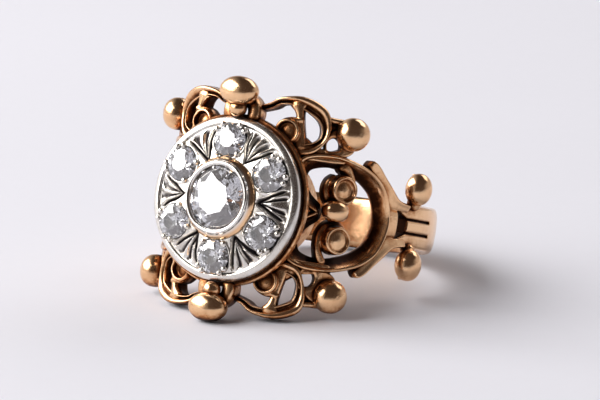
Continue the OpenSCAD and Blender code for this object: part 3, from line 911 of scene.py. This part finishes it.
def plate_height(r, turn):
    """Level of the carved face at a radius and a turn from the top stone, and how dark it is painted there.
    """
    level = PLATE_TOP + 0.15 - 0.15 * smoothstep(3.0, 4.5, r) - 0.5 * smoothstep(4.3, 5.7, r)
    sector = math.tau / SIDE_STONES
    angle = ((turn / sector) % 1 - 0.5) * sector
    from_stone = r * math.sin(sector / 2 - abs(angle))
    stone_along = r * math.cos(sector / 2 - abs(angle)) - STONE_CIRCLE_R
    # deep cuts along both sides of each stone
    hand = 0.5 + 0.5 * math.sin(5.3 * turn + 2.1 * math.sin(3.7 * turn))
    reach = smoothstep(2.9, 3.3, r) * (1 - smoothstep(5.05, 5.6, r))
    half = 0.07 + (0.07 + 0.08 * hand) * reach
    cut = max(0, 1 - abs(from_stone - 1.6 - 0.05 * math.sin(2.4 * r + 5 * hand)) / half)
    level -= (0.3 + 0.2 * hand) * cut * reach
    dark = smoothstep(0.1, 1.0, cut) * reach * (0.7 + 0.3 * hand)
    # long petals with two bold strokes in the wedge between the cuts
    wedge = sector / 2 - math.asin(min(1.72 / max(r, 1.75), 1))
    if wedge > 0.004 and abs(angle) < wedge:
        wave = 0.5 + 0.5 * math.cos(math.tau * (angle / wedge + 0.12 * math.sin(1.7 * r + 9 * hand)))
        fade = smoothstep(3.1, 3.5, r) * (1 - smoothstep(5.2, 5.64, r))
        valley = (1 - wave) ** 1.6
        level += (0.1 - 0.34 * valley) * fade
        dark = max(dark, smoothstep(0.4, 1.0, valley) * fade * (0.65 + 0.35 * hand))
    # stone seats with a raised collar of metal
    away = math.hypot(from_stone, stone_along)
    level += 0.05 * smoothstep(1.6, 1.45, away)
    if away < STONE_SEAT_R:
        level = min(level, PLATE_TOP + 0.02) - 0.9 * (STONE_SEAT_R - away) - 0.04
        dark = max(dark, smoothstep(STONE_SEAT_R, 1.25, away))
    return max(level, PLATE_LEVEL + 0.08), dark


class RING_OT_head_plate(bpy.types.Operator):
    """Makes the white plate with its raised rim, cut rays and stone seats"""
    bl_idname = "ring.make_head_plate"
    bl_label = "Head plate"

    def execute(self, context):
        steps, face_steps, face_edge = 720, 64, 5.6
        face_width = face_edge - COLLET_SEAT_R
        radii = [COLLET_SEAT_R + face_width * k / face_steps for k in range(face_steps + 1)]
        rim = [(5.64, RIM_TOP - 0.17), (5.70, RIM_TOP - 0.06), (5.78, RIM_TOP), (5.88, RIM_TOP),
               (6.0, RIM_TOP - 0.04), (6.15, RIM_TOP - 0.12), (6.25, RIM_TOP - 0.22),
               (PLATE_R - 0.01, RIM_TOP - 0.34), (PLATE_R, RIM_TOP - 0.5), (PLATE_R, PLATE_LEVEL + 0.12),
               (PLATE_R - 0.03, PLATE_LEVEL + 0.03), (PLATE_R - 0.1, PLATE_LEVEL),
               (3.1, PLATE_LEVEL), (COLLET_SEAT_R, PLATE_LEVEL + 0.1)]
        rings, depths = [], []
        for k in range(steps):
            turn = math.tau * k / steps
            sn, cs = math.sin(turn), math.cos(turn)
            wave = 0.012 * math.sin(7 * turn + 1) + 0.008 * math.sin(13 * turn)
            face = [plate_height(r, turn) for r in radii]
            ring = [(r * sn, level, r * cs) for r, (level, dark) in zip(radii, face)]
            ring += [(r * sn, h + (wave if h > RIM_TOP - 0.3 else 0) - 0.012, r * cs) for r, h in rim]
            rings.append(ring)
            depths += [dark for level, dark in face] + [0.0] * len(rim)
        piece("head_plate", loft(rings, closed=True), carved_white_gold(), depths=depths)
        return {"FINISHED"}


def narrowed(shape):
    """The centre stone and its setting are a little narrower across than along."""
    return shape.moved(lambda x, out, along: (x * 0.955, out, along))


class RING_OT_collet(bpy.types.Operator):
    """Makes the raised setting of the centre stone"""
    bl_idname = "ring.make_collet"
    bl_label = "Centre collet"

    def execute(self, context):
        seat = COLLET_SEAT_R
        outline = [(seat - 0.75, PLATE_LEVEL - 0.55), (seat - 0.1, PLATE_LEVEL - 0.58),
                   (seat - 0.01, PLATE_LEVEL - 0.45), (seat - 0.01, PLATE_TOP),
                   (seat + 0.02, PLATE_TOP + 0.16), (seat + 0.17, PLATE_TOP + 0.22),
                   (seat + 0.1, PLATE_TOP + 0.36), (seat - 0.06, PLATE_TOP + 0.55), (2.82, LIP_TOP - 0.3),
                   (2.79, LIP_TOP - 0.14), (2.73, LIP_TOP - 0.03), (2.64, LIP_TOP), (2.54, LIP_TOP - 0.02),
                   (2.46, LIP_TOP - 0.08), (2.42, LIP_TOP - 0.16), (2.46, LIP_TOP - 0.4),
                   (2.3, LIP_TOP - 0.75), (1.9, LIP_TOP - 1.2)]
        shape = narrowed(on_head(turned(smooth_curve(outline, 2, closed=True), 192, closed=True)))
        piece("centre_collet", shape, collet_metal())
        return {"FINISHED"}


def on_stone(shape, i):
    """Puts a shape made about a stone's girdle centre at the place of side stone i."""
    turn = math.tau * i / SIDE_STONES
    cs, sn = math.cos(turn), math.sin(turn)
    ct, st = math.cos(STONE_TILT), math.sin(STONE_TILT)

    def rule(u, v, w):
        v, w = v * ct + w * st, w * ct - v * st
        v += STONE_CIRCLE_R
        return (u * cs + v * sn, PLATE_TOP + w, v * cs - u * sn)

    return shape.moved(rule)


class RING_OT_grains(bpy.types.Operator):
    """Makes the grains that hold the side stones, two pairs outside and two single ones inside"""
    bl_idname = "ring.make_grains"
    bl_label = "Grains"

    def execute(self, context):
        chance = random.Random(context.scene.ring_sizes.seed)
        edge = mm(context.scene.ring_sizes.side_stone) / 2
        shape = Shape()
        for i in range(SIDE_STONES):
            for degrees in (33, 56, -33, -56, 141, -141):
                turn = math.radians(degrees + chance.uniform(-3, 3))
                size = 0.46 + chance.uniform(-0.04, 0.03)
                reach = edge + 0.03
                grain = oval(size, size, size * 1.1, 2.2, 20, 12)
                across, ahead = reach * math.sin(turn), reach * math.cos(turn)
                grain = grain.moved(lambda u, v, w: (u + across, v + ahead, w + 0.1))
                shape.add(on_stone(grain, i))
        piece("setting_grains", shape, white_gold())
        return {"FINISHED"}


def brilliant(diameter, table=0.56, crown=0.15, girdle=0.025, pavilion=0.43, spin=0.0, culet=0.02):
    """A round cut stone with its girdle at the origin: table, stars, mains, halves and a cut pavilion."""
    radius = diameter / 2
    table_r, crown_h = radius * table, diameter * crown
    girdle_h, pavilion_h = diameter * girdle, diameter * pavilion
    half = math.pi / 8
    star_r = radius * 0.79
    star_h = crown_h * (radius - star_r * math.cos(half)) / (radius - table_r)
    low_r = radius * 0.26
    low_h = pavilion_h * (1 - low_r * math.cos(half) / radius)
    culet_r = radius * culet

    def ring(count, r, h, first=0.0):
        turns = [first + spin + math.tau * k / count for k in range(count)]
        return [(r * math.sin(turn), r * math.cos(turn), h) for turn in turns]

    points = (ring(8, table_r, girdle_h + crown_h) + ring(8, star_r, girdle_h + star_h, half)
              + ring(16, radius, girdle_h) + ring(16, radius, 0) + ring(8, low_r, -low_h, half)
              + ring(8, culet_r, -pavilion_h * (1 - culet)))
    faces = [tuple(range(8)), tuple(range(63, 55, -1))]
    for k in range(8):
        after = (k + 1) % 8
        table_a, table_b, star, star_back = k, after, 8 + k, 8 + (k - 1) % 8
        up, up_mid, up_next = 16 + 2 * k, 17 + 2 * k, 16 + 2 * after
        low, low_mid, low_next = 32 + 2 * k, 33 + 2 * k, 32 + 2 * after
        deep, deep_back = 48 + k, 48 + (k - 1) % 8
        tip, tip_next = 56 + k, 56 + after
        faces += [(table_a, table_b, star), (table_a, star, up, star_back), (star, up, up_mid),
                  (star, up_mid, up_next), (up, up_mid, low_mid, low), (up_mid, up_next, low_next, low_mid),
                  (deep, low, low_mid), (deep, low_mid, low_next), (deep_back, low, deep, tip),
                  (deep, tip, tip_next)]
    return Shape(points, faces)


class RING_OT_stones(bpy.types.Operator):
    """Makes the centre stone and the six side stones"""
    bl_idname = "ring.make_stones"
    bl_label = "Stones"

    def execute(self, context):
        sizes = context.scene.ring_sizes
        centre = narrowed(on_head(brilliant(mm(sizes.centre_stone) - 0.02, spin=0.1), LIP_TOP - 0.45))
        piece("centre_diamond", centre, clear_stone(), flat=True)
        chance = random.Random(sizes.seed + 1)
        for i in range(SIDE_STONES):
            stone = brilliant(mm(sizes.side_stone) - 0.03, table=0.5, crown=0.145, pavilion=0.42,
                              culet=0.06, spin=chance.uniform(0, 0.7))
            piece(f"side_diamond_{i + 1}", on_stone(stone, i), clear_stone(), flat=True)
        return {"FINISHED"}


# ---------------------------------------------------------------- stage

def light(name, place, aim, size, power, colour):
    """A soft panel that faces its aim. Places are in metres."""
    data = bpy.data.lights.new(name, "AREA")
    data.shape = "RECTANGLE"
    data.size, data.size_y = size
    data.energy = power
    data.color = colour
    thing = bpy.data.objects.new(name, data)
    thing.location = place
    thing.rotation_euler = (Vector(aim) - Vector(place)).to_track_quat("-Z", "Y").to_euler()
    bpy.context.scene.collection.objects.link(thing)


def around(azimuth, elevation, distance):
    """A place seen from the ring: azimuth 0 is in front, 90 to the right."""
    a, e = math.radians(azimuth), math.radians(elevation)
    return Vector((math.sin(a) * math.cos(e), -math.cos(a) * math.cos(e), math.sin(e))) * distance


class RING_OT_stage(bpy.types.Operator):
    """Makes the table, the soft lights, the pale surroundings and the camera"""
    bl_idname = "ring.make_stage"
    bl_label = "Stage"

    def execute(self, context):
        scene = context.scene
        low = CAD_BOX[0]
        edges = [(x * TABLE_HALF, y * TABLE_HALF, low.z) for x, y in ((-1, -1), (1, -1), (1, 1), (-1, 1))]
        floor = mesh_object("table", Shape(edges, [(0, 1, 2, 3)]), Vector)
        floor.data.materials.append(pale_table())

        middle = HOLE_CENTRE
        light("window", middle + around(-60, 35.5, 0.7), middle, (0.83, 0.5), 7.6, (1.0, 0.985, 0.97))
        light("back_panel", middle + around(165, 38, 0.9), middle, (0.8, 0.4), 2.2, (0.97, 0.98, 1.0))

        world = bpy.data.worlds.new("surroundings")
        world.use_nodes = True
        scene.world = world
        g = Graph(world.node_tree)
        way = g.add("ShaderNodeTexCoord", output=0)
        high_up = g.along(way, (0, 0, 1))
        left = g.along(way, tuple(around(-75, 0, 1)))
        front = g.along(way, tuple(around(40, 10, 1)))
        room = g.blend(high_up.ramp(0.28, 0.55), (0.55, 0.53, 0.54, 1), (0.055, 0.042, 0.036, 1))
        room = g.blend(front.ramp(0.0, 0.8), room, (0.07, 0.055, 0.05, 1))
        room = g.blend(left.ramp(0.2, 0.9), room, (0.9, 0.88, 0.88, 1))
        seen = g.add("ShaderNodeLightPath", output=0)
        shade = g.blend(seen, room, (0.84, 0.82, 0.87, 1))
        back = g.add("ShaderNodeBackground", {}, {"Color": shade, "Strength": 1.0})
        g.add("ShaderNodeOutputWorld", {}, {"Surface": back})
        scene.view_settings.view_transform = "Standard"

        camera = bpy.data.cameras.new("camera")
        camera.sensor_width = 36
        distance, field = 0.24, 0.0478
        camera_turn, camera_rise = 29.5, 13.7
        aside, above = 0.77, 1.10
        camera.lens = camera.sensor_width * distance / field
        camera.clip_start, camera.clip_end = 0.01, 20
        eye = bpy.data.objects.new("camera", camera)
        back_way = around(camera_turn, camera_rise, 1)
        eye.rotation_mode = "QUATERNION"
        eye.rotation_quaternion = (-back_way).to_track_quat("-Z", "Y")
        right = eye.rotation_quaternion @ Vector((1, 0, 0))
        up = eye.rotation_quaternion @ Vector((0, 1, 0))
        target = HOLE_CENTRE - right * aside * MM + up * above * MM
        eye.location = target + back_way * distance
        scene.collection.objects.link(eye)
        scene.camera = eye
        return {"FINISHED"}


PARTS = (RING_OT_stage, RING_OT_shank, RING_OT_forks, RING_OT_knobs, RING_OT_hearts, RING_OT_snails,
         RING_OT_beads, RING_OT_corner_scrolls, RING_OT_eyelets, RING_OT_gallery, RING_OT_head_plate,
         RING_OT_collet, RING_OT_grains, RING_OT_stones)


class RING_PT_panel(bpy.types.Panel):
    """The ring's sizes, colours and makers"""
    bl_label = "Ring"
    bl_idname = "RING_PT_panel"
    bl_space_type = "VIEW_3D"
    bl_region_type = "UI"
    bl_category = "Ring"

    def draw(self, context):
        for group in (context.scene.ring_sizes, context.scene.ring_colours):
            for name in group.bl_rna.properties.keys():
                if name not in ("rna_type", "name"):
                    self.layout.prop(group, name)
        for part in PARTS:
            self.layout.operator(part.bl_idname)


CLASSES = (RingSizes, RingColours) + PARTS + (RING_PT_panel,)


def register():
    for kind in CLASSES:
        bpy.utils.register_class(kind)
    bpy.types.Scene.ring_sizes = PointerProperty(type=RingSizes)
    bpy.types.Scene.ring_colours = PointerProperty(type=RingColours)


def unregister():
    del bpy.types.Scene.ring_colours
    del bpy.types.Scene.ring_sizes
    for kind in reversed(CLASSES):
        bpy.utils.unregister_class(kind)


def main():
    register()
    for part in PARTS:
        group, name = part.bl_idname.split(".")
        getattr(getattr(bpy.ops, group), name)()


if __name__ == "__main__":
    main()
